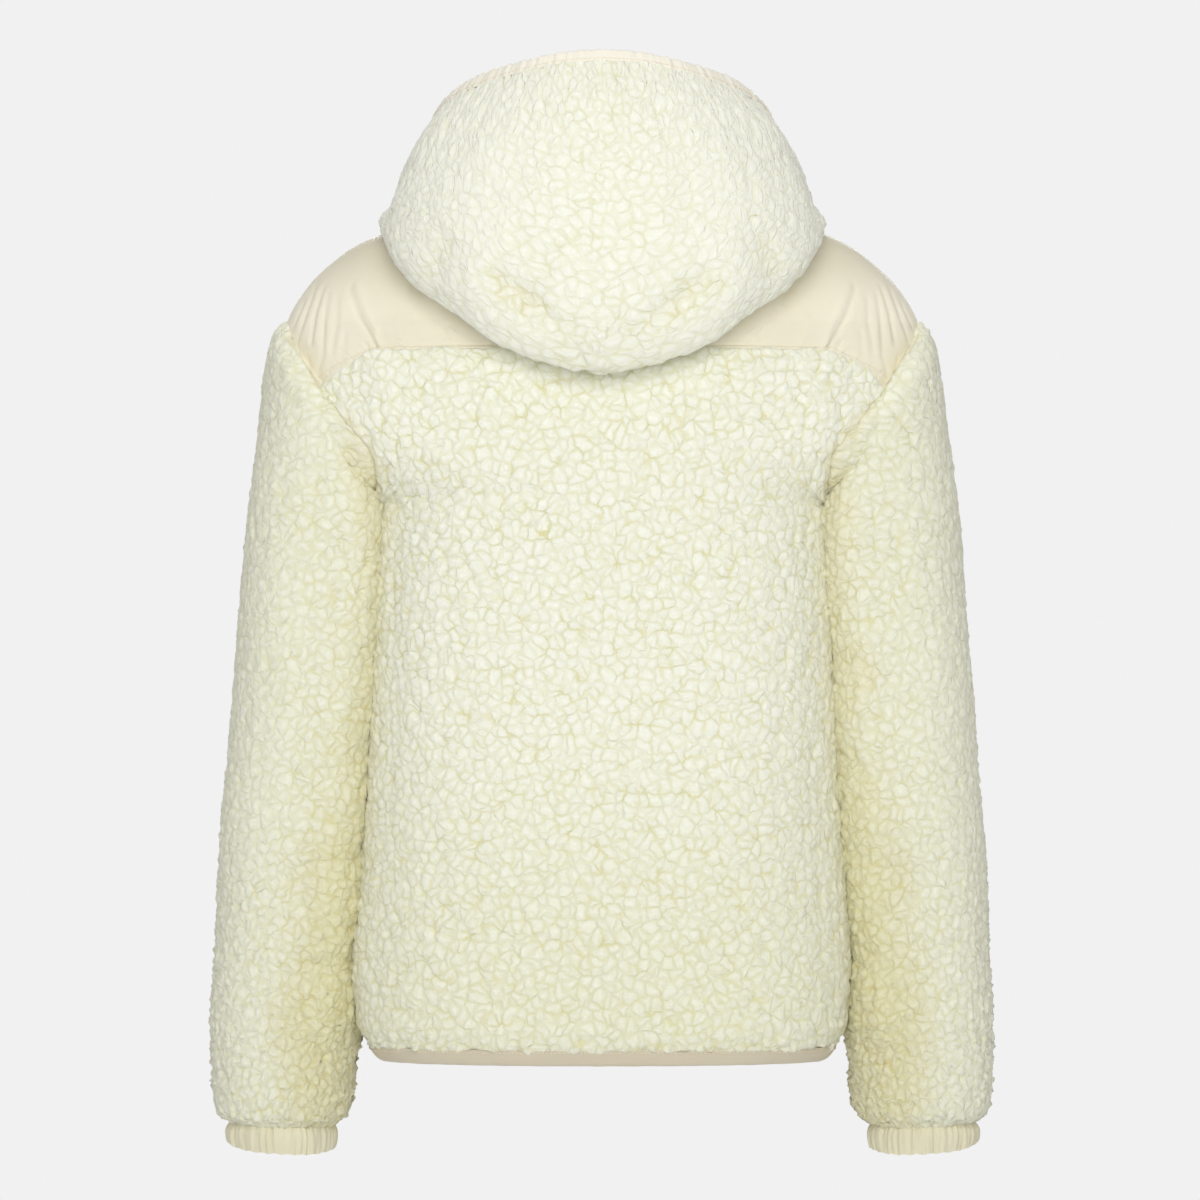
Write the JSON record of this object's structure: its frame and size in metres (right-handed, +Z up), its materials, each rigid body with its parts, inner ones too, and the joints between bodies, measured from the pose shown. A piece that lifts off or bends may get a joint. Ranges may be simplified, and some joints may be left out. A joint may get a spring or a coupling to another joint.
{
  "type": "sherpa zip jacket",
  "caption": "Hooded sherpa zip jacket, filled out as worn, hood down, with a smooth nylon yoke, bound hem and gathered cuffs.",
  "frame": {"origin": "middle of the neck, level with the points where the jacket rests on the wearer's shoulders", "axes": "+Z up, the front faces -Y, +X is the wearer's left"},
  "size_m": [0.58, 0.314, 0.8132],
  "materials": {
    "sherpa": "deep curly cream pile, matte",
    "nylon": "smooth beige nylon with a soft sheen",
    "tape": "woven zip tape, matte",
    "metal": "satin metal"
  },
  "bodies": {
    "jacket": {"back_panel": "sherpa", "front_left": "sherpa", "front_right": "sherpa", "sleeve_left": "sherpa", "sleeve_right": "sherpa", "hood_left": "sherpa", "hood_right": "sherpa", "yoke_back": "nylon", "yoke_front_left": "nylon", "yoke_front_right": "nylon", "cuff_left": "nylon", "cuff_right": "nylon", "hood_binding_left": "nylon", "hood_binding_right": "nylon", "hem_back": "nylon", "hem_front_left": "nylon", "hem_front_right": "nylon", "zip_tape_left": "tape", "zip_tape_right": "tape", "zip_slider": "metal"},
    "pull_tab": {"zip_pull": "metal"}
  },
  "joints": [
    {"name": "pull_tab_hinge", "type": "hinge", "parent": "jacket", "child": "pull_tab", "pos_m": [0, -0.09219, 0.021], "axis": [1, 0, 0], "range_deg": [-150, 0]}
  ]
}
